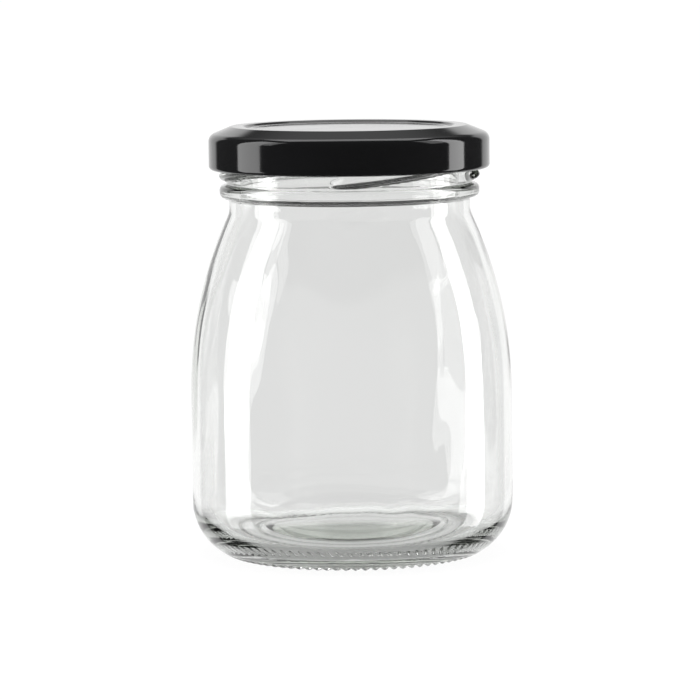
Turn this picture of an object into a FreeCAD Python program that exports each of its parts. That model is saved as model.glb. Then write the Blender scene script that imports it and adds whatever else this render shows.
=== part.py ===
import FreeCAD, Part
import math
import os

# Glass pudding jar with its twist-off lid, empty and closed.
#
# The jar stands on Z = 0 with its axis on Z. All sizes are in millimetres. Every piece is turned from
# half of its section, drawn in the XZ plane as radius and height. Three pieces are made, each one solid:
#   jar     pressed and blown glass, with four lug threads round its mouth
#   lid     tinplate cap, with a rolled hem and four lugs that hook under the threads
#   gasket  soft sealing ring in the lid's channel, pressed down on the rim of the mouth

# Jar body
jar_height = 91.2              # to the rim of the mouth
body_diameter = 69.7
glass_wall = 2.4
straight_top = 35.0            # where the straight side ends and the shoulder starts to draw in
neck_undercut = 0.45           # how far the neck under the bead stands in from the finish
neck_length = 2.2
neck_fillet = 3.0

# Jar base
heel_inset = 7.4               # from the side of the body in to the bearing ring
heel_slope = 24.0              # degrees from level, where the heel meets the bearing ring
bearing_width = 1.3
push_up_height = 1.5           # of the hollow just inside the bearing ring
push_up_flank = 1.2
plate_inset = 4.0              # from the foot of the hollow in to the step of the base plate
plate_step = 0.4
plate_crown = 1.2
base_edge_rounding = 0.3
push_up_rounding = 0.9
floor_height = 6.5             # of the domed floor inside, in its middle
floor_fall = 15.0              # degrees from level, where the dome runs into the floor's rounded corner
floor_rounding = 8.7

# Finish, which is the mouth with its transfer bead and threads
finish_diameter = 52.9
finish_height = 11.0           # from the top of the bead to the rim
rim_rounding = 1.3
bead_height = 3.2
bead_reach = 1.6               # how far the bead stands out from the finish
bead_nose = 0.4                # how far its edges draw back in height
bead_rounding = 1.15
bead_root_rounding = 0.4

# Lug threads
thread_count = 4
thread_reach = 1.7
thread_width = 2.5
thread_lead = 18.0             # rise in one full turn
thread_rise = 1.65             # of the thread's centre above the bead, where it reaches full size
thread_taper = 8.0             # degrees over which each end sinks into the glass
thread_sections_apart = 4.0    # degrees
front = -90.0                  # degrees from +X round to the front, where the first thread starts

# Lid
sheet = 0.25
lid_height = 9.3
hem_diameter = 1.8
hem_clearance = 0.35           # from the threads
lid_slope = 22.1               # degrees from level, of the band inside the lid's outer edge
lid_edge_rounding = 1.9
crest_inset = 0.95             # of the crest's outer edge from the finish
crest_overlap = 0.8            # of the crest's inner edge past the bore
crest_rounding = 0.8
crest_drop = 0.4
ledge_width = 1.1
panel_drop = 0.1
panel_flank = 0.5
panel_rounding = 0.28

# Lugs under the hem
lug_angle = 14.0               # degrees round the hem that each lug takes up
lug_lift = 0.25                # above the bottom of the hem
lug_reach_clearance = 0.5      # from the finish
lug_play = 0.15                # above and below, between the threads
lug_rounding = 0.3

# Gasket
seal_thickness = 1.15          # over the rim, under the lid
seal_bite = 0.25               # how deep the rim sinks into the ring
seal_inner_overlap = 0.5       # past the bore
seal_outer_overlap = 1.15      # past the finish

# Radii and heights that follow from the sizes above
body_radius = body_diameter / 2
bearing_radius = body_radius - heel_inset
finish_radius = finish_diameter / 2
neck_radius = finish_radius - neck_undercut
bore_radius = neck_radius - glass_wall
bead_top = jar_height - finish_height
bead_foot = bead_top - bead_height
shoulder_top = bead_foot - neck_length
thread_base = bead_top + thread_rise
lid_top = jar_height + seal_thickness + sheet
lid_foot = lid_top - lid_height
skirt_radius = finish_radius + thread_reach + hem_clearance + hem_diameter
hem_radius = hem_diameter / 2
hem_landing = math.sqrt(hem_radius ** 2 - (hem_radius - sheet) ** 2)    # above the roll's centre, on the skirt

ORIGIN = FreeCAD.Vector(0, 0, 0)
UP = FreeCAD.Vector(0, 0, 1)
FORWARD = FreeCAD.Vector(0, 1, 0)


def point(radius, height, rounding=0):
    """A place on the section. A corner's rounding doesn't move it."""
    return FreeCAD.Vector(radius, 0, height)


def line(start, end):
    return [Part.LineSegment(start, end).toShape()] if start.distanceToPoint(end) > 1e-6 else []


def rounded(corners):
    """Edges through corners given as (radius, height, rounding), with a tangent arc at each rounded one."""
    edges = []
    start = point(*corners[0])
    for before, corner, after in zip(corners, corners[1:], corners[2:]):
        here = point(*corner)
        back = (point(*before) - here).normalize()
        ahead = (point(*after) - here).normalize()
        rounding = corner[2] if len(corner) > 2 else 0
        if rounding == 0:
            edges += line(start, here)
            start = here
            continue
        half_turn = back.getAngle(ahead) / 2
        reach = rounding / math.tan(half_turn)
        inward = (back + ahead).normalize() * (rounding / math.sin(half_turn) - rounding)
        edges += line(start, here + back * reach)
        edges.append(Part.Arc(here + back * reach, here + inward, here + ahead * reach).toShape())
        start = here + ahead * reach
    return edges + line(start, point(*corners[-1]))


def moved_in(corners, wall):
    """The same corners for the other face of a wall, which lies to the left of their direction."""
    courses = [(point(*b) - point(*a)).normalize() for a, b in zip(corners, corners[1:])]
    courses = [courses[0]] + courses + [courses[-1]]
    inner = []
    for corner, arriving, leaving in zip(corners, courses, courses[1:]):
        sides = FreeCAD.Vector(-arriving.z - leaving.z, 0, arriving.x + leaving.x)
        place = point(*corner) + sides * (wall / (1 + arriving.dot(leaving)))
        left_turn = arriving.x * leaving.z - arriving.z * leaving.x
        rounding = corner[2] if len(corner) > 2 else 0
        if rounding and left_turn:
            rounding = max(rounding - math.copysign(wall, left_turn), 0)
        inner.append((place.x, place.z, rounding))
    return inner


def dome(radius, height, crown):
    """Edge of a shallow dome, from its rim up to the axis."""
    ball = (radius ** 2 + crown ** 2) / (2 * crown)
    middle = math.asin(radius / ball) / 2
    centre = height + crown - ball
    top = point(0, height + crown)
    halfway = point(ball * math.sin(middle), centre + ball * math.cos(middle))
    return [Part.Arc(point(radius, height), halfway, top).toShape()]


def turned(edges, angle=360):
    """The solid that a closed section sweeps out round the axis."""
    section = Part.Face(Part.Wire(Part.sortEdges(edges)[0]))
    return section.revolve(ORIGIN, UP, angle)


def spun(shape, angle):
    copy = shape.copy()
    copy.rotate(ORIGIN, UP, angle)
    return copy


# Shoulder: one long arc that leaves the straight side and meets the neck's fillet on a common tangent
shoulder_turn = 2 * math.atan((body_radius - neck_radius) / (shoulder_top - straight_top))
shoulder_radius = (shoulder_top - straight_top) / math.sin(shoulder_turn) - neck_fillet
shoulder_corner = (body_radius, straight_top + shoulder_radius * math.tan(shoulder_turn / 2), shoulder_radius)
neck_corner = (neck_radius, shoulder_top - neck_fillet * math.tan(shoulder_turn / 2), neck_fillet)

# Heel: one arc from the straight side down to the edge of the bearing ring
heel_corner_height = heel_inset * math.tan(math.radians(heel_slope))
heel_radius = heel_inset / math.cos(math.radians(heel_slope)) / math.tan(math.radians(90 - heel_slope) / 2)

# Lugs: as thick as the gap between two threads leaves, and turned on until they hook under one
thread_gap = thread_lead / thread_count - thread_width
lug_thickness = thread_gap - thread_lead * lug_angle / 360 - 2 * lug_play
lug_foot = lid_foot + lug_lift
lug_top = lug_foot + lug_thickness
lug_turn = (lug_top + lug_play + thread_width / 2 - thread_base) / thread_lead * 360
thread_sweep = lug_turn + lug_angle + thread_taper


def glass_wall_inside():
    """Corners of the inner wall, from the middle of the domed floor up to the bore."""
    outside = [(body_radius, 0), shoulder_corner, neck_corner, (neck_radius, jar_height)]
    inside = moved_in(outside, glass_wall)
    radius = inside[0][0]
    fall = math.radians(floor_fall)
    dome_edge = radius - floor_rounding * math.cos(fall) / math.tan((math.pi / 2 - fall) / 2)
    dome_corner = dome_edge / (1 + math.cos(fall))
    foot = floor_height - (radius - dome_corner) * math.tan(fall)
    dome_radius = dome_edge / math.sin(fall)
    floor = [(0, floor_height), (dome_corner, floor_height, dome_radius), (radius, foot, floor_rounding)]
    return floor + inside[1:-1]


def lug_thread():
    """One thread on the finish, which starts under the lid's edge and climbs to the right."""
    start = -thread_taper
    steps = math.ceil((thread_sweep - start) / thread_sections_apart)
    sections = []
    for step in range(steps + 1):
        angle = start + (thread_sweep - start) * step / steps
        into_end = min(angle - start, thread_sweep - angle, thread_taper) / thread_taper
        swell = math.sin(into_end * math.pi / 2)
        size = thread_width / 2 * (0.3 + 0.7 * swell)
        crest = finish_radius - 0.3 + (thread_reach + 0.3) * swell
        centre = point(crest - size, thread_base + thread_lead * angle / 360)
        section = Part.Wire(Part.Circle(centre, FORWARD, size).toShape())
        sections.append(spun(section, angle))
    return Part.makeLoft(sections, True, False)


def make_jar():
    bearing_inner = bearing_radius - bearing_width
    push_up_radius = bearing_inner - push_up_flank
    plate_radius = push_up_radius - plate_inset
    plate_height = push_up_height + plate_step
    base = [
        (plate_radius - plate_step, plate_height),
        (plate_radius, push_up_height, base_edge_rounding),
        (push_up_radius, push_up_height, push_up_rounding),
        (bearing_inner, 0, base_edge_rounding),
        (bearing_radius, 0),
        (body_radius, heel_corner_height, heel_radius),
    ]
    finish = [
        (neck_radius, bead_foot, bead_root_rounding),
        (finish_radius + bead_reach, bead_foot + bead_nose, bead_rounding),
        (finish_radius + bead_reach, bead_top - bead_nose, bead_rounding),
        (finish_radius, bead_top, bead_root_rounding),
        (finish_radius, jar_height, rim_rounding),
        (bore_radius, jar_height, rim_rounding),
    ]
    inside = glass_wall_inside()
    edges = rounded(base + [shoulder_corner, neck_corner] + finish + inside[::-1])
    edges += dome(plate_radius - plate_step, plate_height, plate_crown)
    edges += line(point(0, plate_height + plate_crown), point(0, floor_height))
    thread = lug_thread()
    threads = [spun(thread, front + 360 * index / thread_count) for index in range(thread_count)]
    return turned(edges).multiFuse(threads).removeSplitter()


def lid_outside():
    """Corners of the lid's outer face, from the hem up the skirt and in to the axis."""
    crest_outer = finish_radius - crest_inset
    crest_inner = bore_radius - crest_overlap
    ledge_outer = crest_inner - crest_drop
    ledge_inner = ledge_outer - ledge_width
    ledge_height = lid_top - crest_drop
    panel_height = ledge_height - panel_drop
    edge_height = lid_top - (skirt_radius - crest_outer) * math.tan(math.radians(lid_slope))
    return [
        (skirt_radius, lid_foot + hem_radius),
        (skirt_radius, edge_height, lid_edge_rounding),
        (crest_outer, lid_top, crest_rounding),
        (crest_inner, lid_top, crest_rounding),
        (ledge_outer, ledge_height, panel_rounding),
        (ledge_inner, ledge_height, panel_rounding),
        (ledge_inner - panel_flank, panel_height, panel_rounding),
        (0, panel_height),
    ]


def hem():
    """Edges of the rolled hem's section, from the skirt's outer face round to its inner face."""
    centre = point(skirt_radius - hem_radius, lid_foot + hem_radius)
    outer = centre + point(hem_radius, 0)
    inner = centre + point(-hem_radius, 0)
    over = centre + point(-1, 1).normalize() * hem_radius
    roll = Part.Arc(outer, centre + point(0, -hem_radius), inner).toShape()
    return [roll, Part.Arc(inner, over, centre + point(hem_radius - sheet, hem_landing)).toShape()]


def lug():
    """One lug: a stretch of the hem pressed flat, so that it reaches in under a thread."""
    root = skirt_radius - hem_radius
    tip = finish_radius + lug_reach_clearance
    rounding = min(lug_rounding, lug_thickness / 3)
    corners = [(root, lug_foot), (tip, lug_foot, rounding), (tip, lug_top, rounding), (root, lug_top)]
    return turned(rounded(corners) + line(point(root, lug_top), point(root, lug_foot)), lug_angle)


def make_lid():
    outside = lid_outside()
    inside = moved_in(outside, sheet)
    inside[0] = (inside[0][0], inside[0][1] + hem_landing)
    edges = rounded(outside) + rounded(inside) + hem()
    edges += line(point(*outside[-1]), point(*inside[-1]))
    hooked = spun(lug(), front + lug_turn)
    lugs = [spun(hooked, 360 * index / thread_count) for index in range(thread_count)]
    return turned(edges).multiFuse(lugs).removeSplitter()


def make_gasket(jar):
    """The ring fills the lid's channel, and the rim of the mouth has pressed its own groove in it."""
    inside = moved_in(lid_outside(), sheet)
    foot = jar_height - seal_bite
    inner = bore_radius - seal_inner_overlap
    outer = finish_radius + seal_outer_overlap
    under_lid = turned(rounded(inside) + rounded([inside[0], (0, inside[0][1]), inside[-1]]))
    ring = turned(rounded([(inner, foot), (outer, foot), (outer, lid_top), (inner, lid_top), (inner, foot)]))
    return ring.common(under_lid).cut(jar).removeSplitter()


os.makedirs("parts", exist_ok=True)
jar = make_jar()
pieces = {"jar": jar, "lid": make_lid(), "gasket": make_gasket(jar)}
for node, piece in pieces.items():
    solid = piece.Solids[0]
    box = solid.BoundBox
    print(node, "solids", len(piece.Solids), "valid", solid.isValid(), "cm3", round(solid.Volume / 1000, 3))
    print("    height", round(box.ZMin, 3), round(box.ZMax, 3), "width", round(box.XLength, 3))
    solid.exportStep(f"parts/{node}.step")
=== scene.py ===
# Glass pudding jar, empty, closed with its black twist-off lid. Metres, with Z up and the jar's axis on Z.
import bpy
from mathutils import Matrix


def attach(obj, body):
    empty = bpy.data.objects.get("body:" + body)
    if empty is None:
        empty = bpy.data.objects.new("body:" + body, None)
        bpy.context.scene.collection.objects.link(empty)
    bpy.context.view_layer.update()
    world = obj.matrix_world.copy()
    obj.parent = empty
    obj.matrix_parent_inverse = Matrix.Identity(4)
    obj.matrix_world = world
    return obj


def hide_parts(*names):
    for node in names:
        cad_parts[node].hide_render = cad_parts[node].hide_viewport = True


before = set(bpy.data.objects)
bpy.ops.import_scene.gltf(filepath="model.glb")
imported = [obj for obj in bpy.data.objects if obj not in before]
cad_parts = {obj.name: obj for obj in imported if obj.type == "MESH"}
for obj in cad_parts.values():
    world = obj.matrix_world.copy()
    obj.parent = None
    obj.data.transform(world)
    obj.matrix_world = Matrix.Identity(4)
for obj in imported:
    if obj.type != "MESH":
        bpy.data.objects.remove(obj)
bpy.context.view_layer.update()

import math

import bpy
from mathutils import Matrix, Vector


# Camera: a long lens close to level with the jar, looking down on it by a few degrees.
# It leans by a little over half a degree, as a camera on a hand-set tripod does.
MM = 0.001
scene = bpy.context.scene

eye = Vector((0, -791, 133)) * MM
aim = Vector((-0.25, 0, 43.8)) * MM
lean = math.radians(-0.6)

lens = bpy.data.cameras.new("camera")
lens.sensor_width = 36
lens.lens = 188.7
camera = bpy.data.objects.new("camera", lens)
looking = (aim - eye).to_track_quat("-Z", "Y").to_matrix().to_4x4()
camera.matrix_world = Matrix.Translation(eye) @ looking @ Matrix.Rotation(lean, 4, "Z")
scene.collection.objects.link(camera)
scene.camera = camera

scene.view_settings.view_transform = "Standard"
scene.cycles.max_bounces = 32
scene.cycles.transmission_bounces = 24
scene.cycles.glossy_bounces = 12
scene.cycles.transparent_max_bounces = 24


# Studio: a white backdrop behind, dark flags beside it and a dark room in front, which give clear glass
# its edges. The softboxes are flat lit panels: a tall one at each side, with a narrow one beside it that
# draws the edge, and a wide one overhead.
class Value:
    """A node's output, so that node maths reads as plain expressions."""

    def __init__(self, nodes, socket):
        self.nodes = nodes
        self.socket = socket

    def maths(self, operation, *values):
        return self.nodes.make("ShaderNodeMath", {"operation": operation}, enumerate(values))

    def __add__(self, other):
        return self.maths("ADD", self, other)

    def __radd__(self, other):
        return self.maths("ADD", other, self)

    def __sub__(self, other):
        return self.maths("SUBTRACT", self, other)

    def __rsub__(self, other):
        return self.maths("SUBTRACT", other, self)

    def __mul__(self, other):
        return self.maths("MULTIPLY", self, other)

    def __rmul__(self, other):
        return self.maths("MULTIPLY", other, self)

    def __truediv__(self, other):
        return self.maths("DIVIDE", self, other)

    def __rtruediv__(self, other):
        return self.maths("DIVIDE", other, self)

    def __neg__(self):
        return self * -1

    def __abs__(self):
        return self.maths("ABSOLUTE", self)

    def __pow__(self, other):
        return self.maths("POWER", self, other)

    def sine(self):
        return self.maths("SINE", self)

    def arcsine(self):
        return self.maths("ARCSINE", self)

    def angle_over(self, other):
        """The angle whose tangent is this value over the other, all the way round."""
        return self.maths("ARCTAN2", self, other)

    def in_degrees(self):
        return self * (180 / math.pi)

    def root(self):
        return self.maths("SQRT", self)

    def lower_of(self, other):
        return self.maths("MINIMUM", self, other)

    def higher_of(self, other):
        return self.maths("MAXIMUM", self, other)

    def wrapped(self, low, high):
        """The same value moved by whole turns of high - low until it lies between the two."""
        return self.maths("WRAP", self, high, low)

    def rise(self, start, end):
        """0 before start and 1 after end, with a soft step between them."""
        settings = {"interpolation_type": "SMOOTHSTEP"}
        return self.nodes.make("ShaderNodeMapRange", settings, {0: self, 1: start, 2: end})


class Nodes:
    """A node tree that makes its nodes in one way."""

    def __init__(self, tree):
        self.tree = tree
        tree.nodes.clear()

    def make(self, kind, settings=(), inputs=(), output=0):
        """Adds a node. Its settings come first, and then the values or links of its sockets."""
        node = self.tree.nodes.new(kind)
        for name, setting in dict(settings).items():
            setattr(node, name, setting)
        for name, value in dict(inputs).items():
            if isinstance(value, Value):
                self.tree.links.new(value.socket, node.inputs[name])
            else:
                node.inputs[name].default_value = value
        return Value(self, node.outputs[output]) if node.outputs else node

    def split(self, vector):
        """The three parts of a vector."""
        parts = self.make("ShaderNodeSeparateXYZ", inputs={0: vector})
        return [Value(self, socket) for socket in parts.socket.node.outputs]

    def ray(self, kind):
        """What Light Path says of the ray: whether it is of a kind, or how often it has been mirrored."""
        return self.make("ShaderNodeLightPath", output=kind)

    def tint(self, share, one, other):
        """A colour between two, by share."""
        return self.make("ShaderNodeMix", {"data_type": "RGBA"}, {0: share, 6: one, 7: other}, output=2)


scene.world = bpy.data.worlds.new("studio")
scene.world.use_nodes = True
room = Nodes(scene.world.node_tree)
across, away, up = room.split(room.make("ShaderNodeTexCoord", output="Generated"))

# In degrees: how far a direction lies beside the one straight behind the jar, and how high above level.
beside = abs(across.angle_over(away)).in_degrees()
height = up.arcsine().in_degrees()

# The backdrop ends at the flags, goes dark above the jar and is lit again towards the top. Bent through
# the glass, it is a little brighter at the sides. Diffuse light comes from a plain grey room.
dark, plain = 0.05, 0.3
backdrop = 1 - beside.rise(37, 43)
backdrop_light = 1.0 - 0.92 * height.rise(23, 29) + 0.38 * height.rise(28, 50)
reflected = dark + backdrop * (backdrop_light - dark)
seen_through = 0.80 + 0.2 * beside.rise(12, 17) * (1 - beside.rise(60, 90))
seen_through = seen_through * (1 - 0.97 * height.rise(22, 27)) + 0.25 * height.rise(32, 60)
brightness = plain + room.ray("Is Glossy Ray") * (reflected - plain)
brightness = brightness + room.ray("Is Transmission Ray") * (seen_through - brightness)
brightness = brightness + room.ray("Is Camera Ray") * (1 - brightness)
sky = room.make("ShaderNodeBackground", inputs={"Color": (1, 1, 1, 1), "Strength": brightness})
room.make("ShaderNodeOutputWorld", inputs={"Surface": sky})


def new_material(name):
    material = bpy.data.materials.new(name)
    material.use_nodes = True
    return material, Nodes(material.node_tree)


def flat_sheet(name, width, length):
    """A rectangle round the origin that faces up."""
    mesh = bpy.data.meshes.new(name)
    corners = [(x * width / 2, y * length / 2, 0) for x, y in ((-1, -1), (1, -1), (1, 1), (-1, 1))]
    mesh.from_pydata(corners, [], [(0, 1, 2, 3)])
    return mesh


def softbox(name, place, target, width, length, radiance):
    """A flat diffuser at a place, facing a target, with the radiance given. Straight through the glass
    the room behind it shows instead, so that from the side the glass isn't washed out."""
    diffuser, nodes = new_material(name)
    lit = nodes.make("ShaderNodeEmission", inputs={"Strength": radiance})
    from_behind = nodes.make("ShaderNodeNewGeometry", output="Backfacing")
    seen_straight = nodes.ray("Is Transmission Ray") * (1 - nodes.ray("Glossy Depth")).higher_of(0.0)
    hidden = seen_straight.higher_of(from_behind)
    gone = nodes.make("ShaderNodeBsdfTransparent")
    nodes.make("ShaderNodeOutputMaterial", inputs={
        "Surface": nodes.make("ShaderNodeMixShader", inputs={0: hidden, 1: lit, 2: gone})})
    turn = (Vector(target) - Vector(place)).to_track_quat("Z", "Y").to_matrix().to_4x4()
    panel = flat_sheet(name, width, length)
    panel.transform(Matrix.Translation(Vector(place)) @ turn)
    panel.materials.append(diffuser)
    holder = bpy.data.objects.new(name, panel)
    holder.visible_camera = False
    scene.collection.objects.link(holder)


def around(angle, distance, z):
    """A place at an angle from straight behind the jar, turning to the right."""
    return (distance * math.sin(math.radians(angle)), distance * math.cos(math.radians(angle)), z)


softbox("softbox_left", around(-91, 0.9, 0.35), (0, 0, 0.35), width=0.40, length=1.5, radiance=3.7)
softbox("softbox_left_edge", around(-109, 0.9, 0.75), (0, 0, 0.75), width=0.13, length=0.8, radiance=2.2)
softbox("softbox_right", around(83, 0.9, 0.35), (0, 0, 0.35), width=0.29, length=1.5, radiance=4.6)
softbox("softbox_right_edge", around(102, 0.9, 0.75), (0, 0, 0.75), width=0.24, length=0.8, radiance=1.8)
softbox("softbox_over", (0, 0.35, 1.2), (0, 0.35, 0), width=1.2, length=0.7, radiance=2.5)


# Floor: a wide sheet of plain pale paper that the jar stands on. The camera sees it as white from its own
# glow, a little lower near the jar, apart from the jar's shadow. Seen in the glass it has painted light and
# shade: its painted glow is low in the middle, under the raised base, a painted shadow makes it dimmer
# under the standing ring, and beyond the jar it gives way to the backdrop.
floor_side = 24.0
floor_gap = 0.02
floor = bpy.data.objects.new("floor", flat_sheet("floor", floor_side, floor_side))
floor.location.z = -floor_gap * MM
floor.visible_glossy = False
scene.collection.objects.link(floor)

paper, nodes = new_material("floor_paper")
place = nodes.make("ShaderNodeTexCoord", output="Object")
from_jar = nodes.make("ShaderNodeVectorMath", {"operation": "LENGTH"}, {0: place}, output="Value")
beyond = from_jar.rise(0.03, 0.045)
# Painted shadow: a ring of darker floor under the standing ring, seen only through the glass.
painted_ring_shadow = from_jar.rise(0.021, 0.025) * (1 - from_jar.rise(0.029, 0.033))
matt = nodes.make("ShaderNodeBsdfDiffuse", inputs={"Color": (0.6, 0.6, 0.6, 1)})
faint = nodes.make("ShaderNodeBsdfDiffuse", inputs={"Color": (0.06, 0.06, 0.06, 1)})
glow = nodes.make("ShaderNodeEmission", inputs={"Strength": 0.95 + 0.05 * beyond})
shade = 0.80 - 0.35 * painted_ring_shadow
shade = nodes.make("ShaderNodeCombineColor", inputs={0: shade * 0.98, 1: shade, 2: shade * 0.98})
shaded = nodes.make("ShaderNodeBsdfDiffuse", inputs={"Color": shade})
# Painted light: seen through the glass the floor glows by itself, little under the middle and less under
# the ring.
painted_glow_through = nodes.make("ShaderNodeEmission", inputs={
    "Strength": 0.02 + 0.36 * from_jar.rise(0.013, 0.018) - 0.14 * painted_ring_shadow})
seen = nodes.make("ShaderNodeAddShader", inputs={0: glow, 1: faint})
through = nodes.make("ShaderNodeAddShader", inputs={0: painted_glow_through, 1: shaded})
gone = nodes.make("ShaderNodeBsdfTransparent")
through = nodes.make("ShaderNodeMixShader", inputs={0: beyond, 1: through, 2: gone})
in_glass = nodes.ray("Is Transmission Ray").higher_of(nodes.ray("Is Glossy Ray"))
surface = nodes.make("ShaderNodeMixShader", inputs={0: in_glass, 1: matt, 2: through})
surface = nodes.make("ShaderNodeMixShader", inputs={0: nodes.ray("Is Camera Ray"), 1: surface, 2: seen})
nodes.make("ShaderNodeOutputMaterial", inputs={"Surface": surface})
floor.data.materials.append(paper)


# Jar: one piece of clear flint glass, pressed and then blown in a mould, so its inner wall is a little
# uneven. Four lug threads stand on the mouth, and the ring that it stands on is knurled.
jar_height = 91.2
body_radius = 34.85
glass_wall = 2.4
straight_top = 35.0
shoulder_top = 74.8
neck_radius, neck_fillet = 26.0, 3.0
bearing_radius, bearing_inner = 27.45, 26.15
heel_slope = math.radians(24)
push_up_radius, push_up_height = 24.95, 1.5
plate_radius, plate_step, plate_crown = 20.95, 0.4, 1.2
floor_height, floor_rounding = 6.5, 8.7
floor_fall = math.radians(15)
bead_foot, bead_top, bead_radius = 77.0, 80.2, 28.05
finish_radius, rim_rounding = 26.45, 1.3
most_turn = math.radians(10)
coarse_step, fine_step = 1.6, 0.25
segments = 210
shortest_line, next_to_nothing = 1e-4, 1e-6


def stretches(corners):
    """Lines and arcs through corners given as (radius, height, rounding). Each is (place, length, turn),
    and place gives the point at a share of its length."""
    made = []
    here = Vector(corners[0][:2])

    def line(start, end):
        if (end - start).length > shortest_line:
            made.append((lambda share: start.lerp(end, share), (end - start).length, 0))

    for before, corner, after in zip(corners, corners[1:], corners[2:]):
        tip, rounding = Vector(corner[:2]), corner[2] if len(corner) > 2 else 0
        if rounding == 0:
            line(here, tip)
            here = tip
            continue
        back = (Vector(before[:2]) - tip).normalized()
        ahead = (Vector(after[:2]) - tip).normalized()
        half = back.angle(ahead) / 2
        reach = rounding / math.tan(half)
        centre = tip + (back + ahead).normalized() * (rounding / math.sin(half))
        start, turn = tip + back * reach, math.pi - 2 * half
        line(here, start)

        def arc(share, centre=centre, spoke=start - centre, turn=math.copysign(turn, ahead.cross(back))):
            return centre + Matrix.Rotation(turn * share, 2) @ spoke

        made.append((arc, turn * rounding, turn))
        here = tip + ahead * reach
    line(here, Vector(corners[-1][:2]))
    return made


def dome(radius, height, crown):
    """A shallow dome's section, from the axis out to its edge."""
    ball = (radius ** 2 + crown ** 2) / (2 * crown)

    def place(share):
        across = radius * share
        return Vector((across, height + crown - ball + math.sqrt(ball ** 2 - across ** 2)))

    return [(place, radius, 0)]


def moved_in(corners, wall):
    """The same corners for the other face of a wall, which lies to the left of their direction."""
    courses = [(Vector(b[:2]) - Vector(a[:2])).normalized() for a, b in zip(corners, corners[1:])]
    courses = [courses[0]] + courses + [courses[-1]]
    inner = []
    for corner, arriving, leaving in zip(corners, courses, courses[1:]):
        sides = Vector((-arriving.y - leaving.y, arriving.x + leaving.x))
        place = Vector(corner[:2]) + sides * (wall / (1 + arriving.dot(leaving)))
        left_turn = arriving.x * leaving.y - arriving.y * leaving.x
        rounding = corner[2] if len(corner) > 2 else 0
        if rounding and left_turn:
            rounding = max(rounding - math.copysign(wall, left_turn), 0)
        inner.append((place.x, place.y, rounding))
    return inner


def rows_along(sections, zone):
    """Rows of (radius, height, segments) along stretches. zone gives the spacing and segments at a point.
    A row beside one with over twice its segments gets half of that number, so that the two join."""
    rows = [(*sections[0][0](0), zone(sections[0][0](0))[1])]
    for place, length, turn in sections:
        done = 0.0
        while done < length - next_to_nothing:
            step = zone(place(done / length))[0]
            if turn:
                step = min(step, length * most_turn / turn)
            left = length - done
            done += left / math.ceil(left / step - next_to_nothing)
            point = place(min(done / length, 1))
            rows.append((*point, zone(point)[1]))
    for index in range(1, len(rows) - 1):
        around_it = (rows[index - 1][2], rows[index + 1][2])
        if max(around_it) > 2 * rows[index][2]:
            rows[index] = (*rows[index][:2], max(around_it) // 2)
    return rows


def turned_mesh(name, rows, closed=False):
    """A mesh turned round the axis from rows of (radius, height, segments), in millimetres.
    A row may have twice the segments of the next one, and a row on the axis is one point."""
    vertices, faces, starts = [], [], []
    for radius, height, segments in rows:
        starts.append(len(vertices))
        steps = range(segments) if radius > next_to_nothing else range(1)
        for index in steps:
            angle = 2 * math.pi * index / segments
            vertices.append((radius * MM * math.cos(angle), radius * MM * math.sin(angle), height * MM))
    pairs = list(zip(range(len(rows)), range(1, len(rows)))) + [(len(rows) - 1, 0)] * closed
    for low, high in pairs:
        a, b, n, m = starts[low], starts[high], rows[low][2], rows[high][2]
        if rows[low][0] < next_to_nothing:
            faces += [(a, b + (i + 1) % m, b + i) for i in range(m)]
        elif rows[high][0] < next_to_nothing:
            faces += [(a + i, a + (i + 1) % n, b) for i in range(n)]
        elif n == m:
            faces += [(a + i, a + (i + 1) % n, b + (i + 1) % n, b + i) for i in range(n)]
        elif m == 2 * n:
            for i in range(n):
                near, next_near, far = a + i, a + (i + 1) % n, b + 2 * i
                faces += [(near, next_near, far + 1), (near, far + 1, far)]
                faces += [(next_near, b + (2 * i + 2) % m, far + 1)]
        else:
            for i in range(m):
                near, next_near, far = b + i, b + (i + 1) % m, a + 2 * i
                faces += [(next_near, near, far + 1), (near, far, far + 1)]
                faces += [(far + 1, a + (2 * i + 2) % n, next_near)]
    mesh = bpy.data.meshes.new(name)
    mesh.from_pydata(vertices, [], faces)
    mesh.polygons.foreach_set("use_smooth", [True] * len(faces))
    return mesh


class Shaping(Nodes):
    """A Geometry Nodes tree that moves the points of a turned mesh, by sizes given as named inputs."""

    def __init__(self, name, sizes):
        tree = bpy.data.node_groups.new(name, "GeometryNodeTree")
        super().__init__(tree)
        tree.interface.new_socket("Geometry", in_out="INPUT", socket_type="NodeSocketGeometry")
        for size in sizes:
            tree.interface.new_socket(size, in_out="INPUT", socket_type="NodeSocketFloat")
        tree.interface.new_socket("Geometry", in_out="OUTPUT", socket_type="NodeSocketGeometry")
        self.mesh = self.make("NodeGroupInput")
        self.size = {size: Value(self, self.mesh.socket.node.outputs[size]) for size in sizes}
        self.x, self.y, self.z = self.split(self.make("GeometryNodeInputPosition"))
        self.radius = (self.x * self.x + self.y * self.y).root()
        self.angle = self.y.angle_over(self.x)

    def outward(self, distance, rise=0.0):
        """A move away from the axis and up."""
        scale = distance / self.radius
        return self.make("ShaderNodeCombineXYZ", inputs={0: self.x * scale, 1: self.y * scale, 2: rise})

    def along_normal(self, distance):
        """A move straight out of the surface."""
        inputs = {0: self.make("GeometryNodeInputNormal"), "Scale": distance}
        return self.make("ShaderNodeVectorMath", {"operation": "SCALE"}, inputs)

    def finished(self, move, material):
        """Ends the tree: the points move, and the mesh gets its material."""
        moved = self.make("GeometryNodeSetPosition", inputs={"Geometry": self.mesh, "Offset": move})
        real = self.make("GeometryNodeRealizeInstances", inputs={"Geometry": moved})
        painted = self.make("GeometryNodeSetMaterial", {}, {"Geometry": real, "Material": material})
        self.make("NodeGroupOutput", inputs={0: painted})


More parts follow.
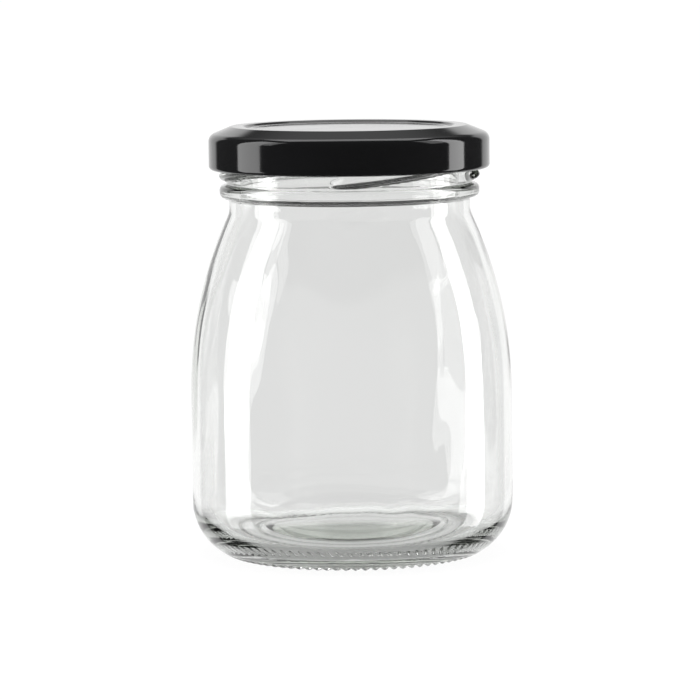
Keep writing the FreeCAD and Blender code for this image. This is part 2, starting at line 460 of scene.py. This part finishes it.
def shaped(name, mesh, steps):
    """A piece made from a mesh by one tree after another, given as (tree, its sizes)."""
    rough = bpy.data.objects.new(name + "_rough", mesh)
    scene.collection.objects.link(rough)
    for shaping, sizes in steps:
        modifier = rough.modifiers.new(shaping.tree.name, "NODES")
        modifier.node_group = shaping.tree
        for item in shaping.tree.interface.items_tree:
            if item.in_out == "INPUT" and item.name in sizes:
                modifier[item.identifier] = float(sizes[item.name])
    made = bpy.data.meshes.new_from_object(rough.evaluated_get(bpy.context.evaluated_depsgraph_get()))
    bpy.data.objects.remove(rough)
    made.name = name
    piece = bpy.data.objects.new(name, made)
    scene.collection.objects.link(piece)
    return piece


# The glass: faintly green in its depth. It lets light through to the floor, so that its shadow is pale.
flint, nodes = new_material("flint_glass")
clear = nodes.make("ShaderNodeBsdfPrincipled", inputs={
    "Base Color": (1, 1, 1, 1), "Roughness": 0.0, "IOR": 1.52, "Transmission Weight": 1.0})
let_past = 0.96 - 0.9 * nodes.make("ShaderNodeLayerWeight", inputs={"Blend": 0.5}, output="Facing")
let_past = nodes.make("ShaderNodeCombineColor", inputs={0: let_past, 1: let_past, 2: let_past})
open_way = nodes.make("ShaderNodeBsdfTransparent", inputs={"Color": let_past})
surface = nodes.make("ShaderNodeMixShader", inputs={0: nodes.ray("Is Shadow Ray"), 1: clear, 2: open_way})
depth = nodes.make("ShaderNodeVolumeAbsorption", inputs={"Color": (0.41, 0.48, 0.37, 1), "Density": 14.0})
nodes.make("ShaderNodeOutputMaterial", inputs={"Surface": surface, "Volume": depth})

shoulder_turn = 2 * math.atan((body_radius - neck_radius) / (shoulder_top - straight_top))
shoulder_radius = (shoulder_top - straight_top) / math.sin(shoulder_turn) - neck_fillet
shoulder = (body_radius, straight_top + shoulder_radius * math.tan(shoulder_turn / 2), shoulder_radius)
neck = (neck_radius, shoulder_top - neck_fillet * math.tan(shoulder_turn / 2), neck_fillet)
heel_inset = body_radius - bearing_radius
heel_radius = heel_inset / math.cos(heel_slope) / math.tan(math.radians(45) - heel_slope / 2)
plate_edge = (plate_radius - plate_step, push_up_height + plate_step)

outside = [
    plate_edge,
    (plate_radius, push_up_height, 0.3),
    (push_up_radius, push_up_height, 0.9),
    (bearing_inner, 0, 0.3),
    (bearing_radius, 0),
    (body_radius, heel_inset * math.tan(heel_slope), heel_radius),
    shoulder,
    neck,
    (neck_radius, bead_foot, 0.4),
    (bead_radius, bead_foot + 0.4, 1.15),
    (bead_radius, bead_top - 0.4, 1.15),
    (finish_radius, bead_top, 0.4),
    (finish_radius, jar_height, rim_rounding),
    (neck_radius - glass_wall, jar_height, rim_rounding),
]
inside = moved_in([(body_radius, 0), shoulder, neck, (neck_radius, jar_height)], glass_wall)
inner_radius = inside[0][0]
dome_edge = inner_radius - floor_rounding * math.cos(floor_fall) / math.tan((math.pi / 2 - floor_fall) / 2)
dome_corner = dome_edge / (1 + math.cos(floor_fall))
floor_foot = floor_height - (inner_radius - dome_corner) * math.tan(floor_fall)
floor_corners = [
    (0, floor_height),
    (dome_corner, floor_height, dome_edge / math.sin(floor_fall)),
    (inner_radius, floor_foot, floor_rounding),
]
inside = floor_corners + inside[1:-1]


def jar_zone(place):
    """Spacing and segments of the jar's rows: fine at the knurled ring, and close on the mouth."""
    if place.y < 2.2 and 24.6 < place.x < 31:
        return fine_step, 4 * segments
    if place.y > bead_top - 0.3 and place.x > 24:
        return fine_step, 2 * segments
    if place.y > bead_foot - 0.8 and place.x > 25:
        return fine_step, segments
    return coarse_step, segments


sections = dome(*plate_edge, plate_crown) + stretches(outside + inside[::-1])
turned = turned_mesh("jar_turned", rows_along(sections, jar_zone))

# The threads: each starts under the lid's edge and climbs to the right, with ends that sink in the glass.
front = -90.0
threads = Shaping("lug_threads", [
    "Count", "Start", "Foot", "Lead", "Width", "Reach", "Sweep", "Taper", "Root"])
size = threads.size
pitch = 360 / size["Count"]
turned_by = threads.angle.in_degrees() - size["Start"] + size["Taper"]
local = turned_by.wrapped(0.0, pitch) - size["Taper"]
stand = None
for along in (local, local + pitch):
    from_start, from_end = along + size["Taper"], size["Sweep"] - along
    into_end = from_start.lower_of(from_end).lower_of(size["Taper"]) / size["Taper"]
    swell = (into_end.higher_of(0.0) * (math.pi / 2)).sine()
    centre = size["Foot"] + size["Lead"] * along / 360
    aside = (threads.z - centre) / (size["Width"] * 0.5 * (swell * 0.6 + 0.4))
    ridge = size["Reach"] * swell * ((1 - aside * aside).higher_of(0.0) ** 0.75)
    stand = ridge if stand is None else stand.higher_of(ridge)
on_finish = threads.radius.rise(size["Root"] - 0.1 * MM, size["Root"] - 0.05 * MM)
threads.finished(threads.outward(stand * on_finish), flint)

# The knurls: rounded strands across the bearing ring, which keep it off wet surfaces as it cools.
knurls = Shaping("knurled_ring", ["Count", "Depth", "Slant", "Inner", "Outer", "Height"])
size = knurls.size
beside_ring = (knurls.radius - size["Inner"]) * size["Slant"]
strand = abs(((knurls.angle + beside_ring) * size["Count"] / 2).sine()) ** 0.7
past_inner = knurls.radius.rise(size["Inner"] - 0.6 * MM, size["Inner"])
past_outer = knurls.radius.rise(size["Outer"] - 1.2 * MM, size["Outer"])
ring = past_inner * (1 - past_outer)
low = 1 - knurls.z.rise(size["Height"] * 0.6, size["Height"])
knurls.finished(knurls.along_normal((strand - 1) * size["Depth"] * ring * low), flint)

# The blown inner wall: long shallow waves, none at the mouth or the floor.
wave_seed = 3.7
blown = Shaping("blown_wall", ["Depth", "Outside", "Foot", "Top", "Scale"])
size = blown.size
stretched = blown.make("ShaderNodeCombineXYZ", inputs={0: blown.x, 1: blown.y, 2: blown.z * 0.3})
wave = blown.make("ShaderNodeTexNoise", {"noise_dimensions": "4D"}, {
    "Vector": stretched, "Scale": size["Scale"], "Detail": 1.5, "Roughness": 0.4, "W": wave_seed})
nx, ny, _ = blown.split(blown.make("GeometryNodeInputNormal"))
facing_in = -(nx * blown.x + ny * blown.y) / blown.radius
inner = facing_in.rise(0.3, 0.7)
share = inner + size["Outside"] * (-facing_in).rise(0.3, 0.7)
above_floor = blown.z.rise(size["Foot"], size["Foot"] + 12 * MM)
at_mouth = blown.z.rise(size["Top"] - 8 * MM, size["Top"])
between = above_floor * (1 - at_mouth)
blown.finished(blown.along_normal((wave - 0.5) * size["Depth"] * share * between), flint)

jar = shaped("jar_glass", turned, [
    (blown, {"Depth": 1.8 * MM, "Outside": 0.12, "Foot": 6 * MM, "Top": 76 * MM, "Scale": 72.0}),
    (threads, {"Count": 4, "Start": front, "Foot": 81.85 * MM, "Lead": 18 * MM, "Width": 2.6 * MM,
               "Reach": 1.7 * MM, "Sweep": 104, "Taper": 8, "Root": finish_radius * MM}),
    (knurls, {"Count": 84, "Depth": 0.75 * MM, "Slant": 14.0, "Inner": bearing_inner * MM,
              "Outer": 29.3 * MM, "Height": 1.4 * MM}),
])
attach(jar, "root")
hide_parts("jar")


# Gasket: a ring of soft, pale grey sealing compound. It is flowed wet into the lid's channel and cured
# there, and the jar's rim has pressed a shallow groove in it.
seal_inner, seal_outer = 23.1, 27.6
seal_foot, groove_height, channel_height = 90.95, 91.22, 92.33
seal_step = 0.3

compound, nodes = new_material("sealing_compound")
place = nodes.make("ShaderNodeTexCoord", output="Object")
flow = nodes.make("ShaderNodeTexNoise", inputs={"Vector": place, "Scale": 900.0, "Detail": 3.0})
ripple = nodes.make("ShaderNodeBump", inputs={"Strength": 0.3, "Distance": 0.05 * MM, "Height": flow})
surface = nodes.make("ShaderNodeBsdfPrincipled", inputs={
    "Base Color": nodes.tint(flow, (0.60, 0.60, 0.57, 1), (0.66, 0.66, 0.63, 1)),
    "Roughness": flow * 0.15 + 0.5,
    "Normal": ripple})
nodes.make("ShaderNodeOutputMaterial", inputs={"Surface": surface})

seal_corners = [
    (23.6, channel_height), (seal_inner, 92.3, 0.4), (seal_inner, seal_foot, 0.3), (23.85, seal_foot, 0.3),
    (24.5, groove_height, 0.5), (25.5, groove_height, 0.5), (26.25, seal_foot, 0.3),
    (seal_outer, seal_foot, 0.2), (seal_outer, 91.35, 0.2), (25.4, channel_height, 0.5),
    (23.62, channel_height)]
seal_rows = rows_along(stretches(seal_corners), lambda place: (seal_step, segments))
gasket = bpy.data.objects.new("sealing_ring", turned_mesh("sealing_ring", seal_rows, closed=True))
gasket.data.materials.append(compound)
scene.collection.objects.link(gasket)
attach(gasket, "root")
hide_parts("gasket")


# Lid: a tinplate cap pressed from sheet, lacquered gloss black. Its edge is rolled inwards to a hem, and
# at four places the hem is pressed flat to a lug, which hooks under a thread.
sheet = 0.25
lid_top, lid_foot = 92.6, 83.3
panel_radius, panel_height = 20.8, 92.1
ledge_inner, ledge_outer, ledge_height = 21.3, 22.4, 92.2
crest_inner, crest_outer = 22.8, 25.5
slope_foot = 90.65
skirt_radius, skirt_middle, hem_radius = 30.3, 88.0, 0.9
hem_inner, hem_top = skirt_radius - 2 * hem_radius, lid_foot + 2 * hem_radius
bend, crest_bend, edge_bend = 0.28, 0.8, 1.9
lid_fine_step, lid_coarse_step = 0.3, 2.0

lid_outside = [
    (0, panel_height),
    (panel_radius, panel_height, bend),
    (ledge_inner, ledge_height, bend),
    (ledge_outer, ledge_height, bend),
    (crest_inner, lid_top, crest_bend),
    (crest_outer, lid_top, crest_bend),
    (skirt_radius, slope_foot, edge_bend),
    (skirt_radius, skirt_middle),
]
lid_inside = moved_in(lid_outside[::-1], sheet)
hem = [
    (skirt_radius, lid_foot, hem_radius),
    (hem_inner, lid_foot, hem_radius),
    (hem_inner, hem_top, 0.85),
    (skirt_radius - sheet, hem_top - 0.2, 0.1),
]

lacquer, nodes = new_material("black_lacquer")
place = nodes.make("ShaderNodeTexCoord", output="Object")
peel = nodes.make("ShaderNodeTexNoise", inputs={"Vector": place, "Scale": 1400.0, "Detail": 2.0})
wear = nodes.make("ShaderNodeTexNoise", inputs={"Vector": place, "Scale": 90.0, "Detail": 4.0})
orange_peel = nodes.make("ShaderNodeBump", inputs={"Strength": 0.05, "Distance": 0.01 * MM, "Height": peel})
surface = nodes.make("ShaderNodeBsdfPrincipled", inputs={
    "Base Color": nodes.tint(wear, (0.011, 0.0112, 0.012, 1), (0.014, 0.0142, 0.015, 1)),
    "Roughness": wear.rise(0.4, 0.7) * 0.03 + 0.075,
    "IOR": 1.5,
    "Normal": orange_peel})
nodes.make("ShaderNodeOutputMaterial", inputs={"Surface": surface})


def lid_zone(place):
    """Spacing and segments of the lid's rows: close at the hem and the rounded edges."""
    if place.y < lid_foot + 2 or place.x > 20:
        return lid_fine_step, 2 * segments
    return lid_coarse_step, segments


lid_rows = rows_along(stretches(lid_outside + hem + lid_inside), lid_zone)

# The lugs: each is a short length of the hem, pressed flat and pushed in towards the jar.
lugs = Shaping("hem_lugs", [
    "Count", "Start", "Angle", "Reach", "Thickness", "Hem radius", "Hem height", "Hem size"])
size = lugs.size
pitch = 360 / size["Count"]
local = (lugs.angle.in_degrees() - size["Start"]).wrapped(0.0, pitch)
pressed = local.rise(0.0, 3.0) * (1 - local.rise(size["Angle"] - 3, size["Angle"]))
above_hem = size["Hem height"] + size["Hem size"] * 1.1
below = 1 - lugs.z.rise(above_hem, size["Hem height"] + size["Hem size"] * 1.3)
inward = (size["Hem radius"] - lugs.radius) / size["Hem size"]
flat = inward.rise(-0.3, 1.0) * pressed * below
sink = (size["Hem height"] - lugs.z) * (1 - size["Thickness"] / (size["Hem size"] * 2)) * flat
lugs.finished(lugs.outward(-(size["Reach"] * flat), sink), lacquer)

lid = shaped("lid_black", turned_mesh("lid_turned", lid_rows[::-1]), [
    (lugs, {"Count": 4, "Start": front + 81, "Angle": 16, "Reach": 1.5 * MM, "Thickness": 1.0 * MM,
            "Hem radius": 29.4 * MM, "Hem height": 84.1 * MM, "Hem size": 0.9 * MM})])
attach(lid, "root")
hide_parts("lid")
